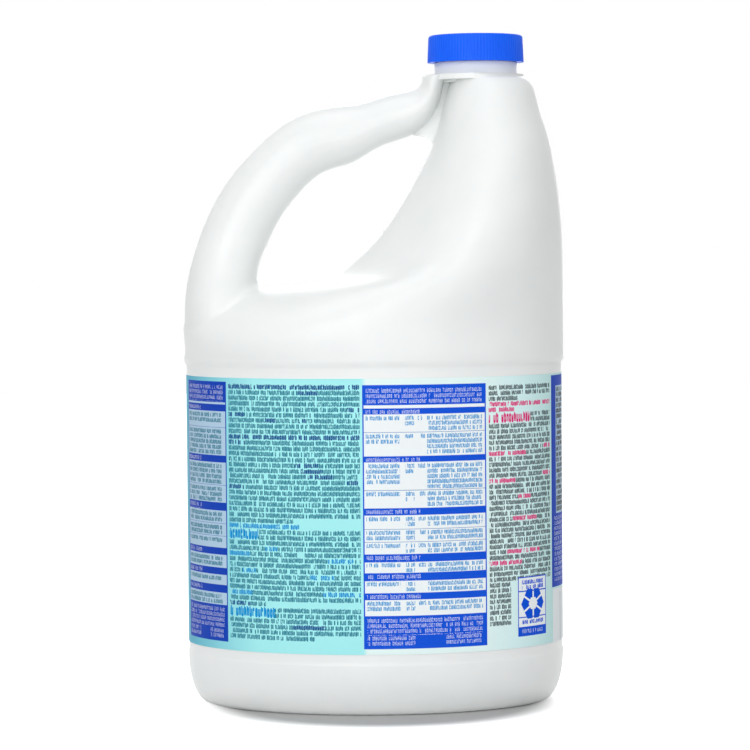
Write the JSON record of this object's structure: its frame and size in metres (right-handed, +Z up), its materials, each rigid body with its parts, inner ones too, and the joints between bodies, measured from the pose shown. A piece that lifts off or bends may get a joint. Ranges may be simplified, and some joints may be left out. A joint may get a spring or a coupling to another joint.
{
  "type": "bleach bottle",
  "caption": "Oval jug-style bleach bottle with a hollow loop handle, an offset neck, a ribbed screw cap and a wrap-around label.",
  "frame": {"origin": "middle of the oval base, on the surface it stands on", "axes": "+Z up, +X towards the neck's side and away from the handle, Y across the bottle's thickness; the mould parting plane is XZ"},
  "size_m": [0.1721, 0.1282, 0.3003],
  "materials": {
    "bottle_shell": "white blow-moulded HDPE, satin",
    "label_film": "printed film label, smooth",
    "screw_cap": "royal blue moulded polypropylene, semi-gloss",
    "liner_foam": "white foamed polyethylene disc"
  },
  "bodies": {
    "bottle": {"bottle": "bottle_shell", "label": "label_film"},
    "liner": {"cap_liner": "liner_foam"},
    "cap": {"cap": "screw_cap"}
  },
  "joints": [
    {"name": "cap_lift", "type": "slide", "parent": "bottle", "child": "liner", "axis": [0, 0, 1], "range_m": [0, 0.0128]},
    {"name": "cap_turn", "type": "hinge", "parent": "liner", "child": "cap", "pos_m": [0.0471, 0, 0.2935], "axis": [0, 0, 1], "range_deg": [0, 1080]}
  ],
  "couplings": [
    {"joint": "cap_lift", "follows": "cap_turn", "m_per_rad": 0.0006737}
  ]
}
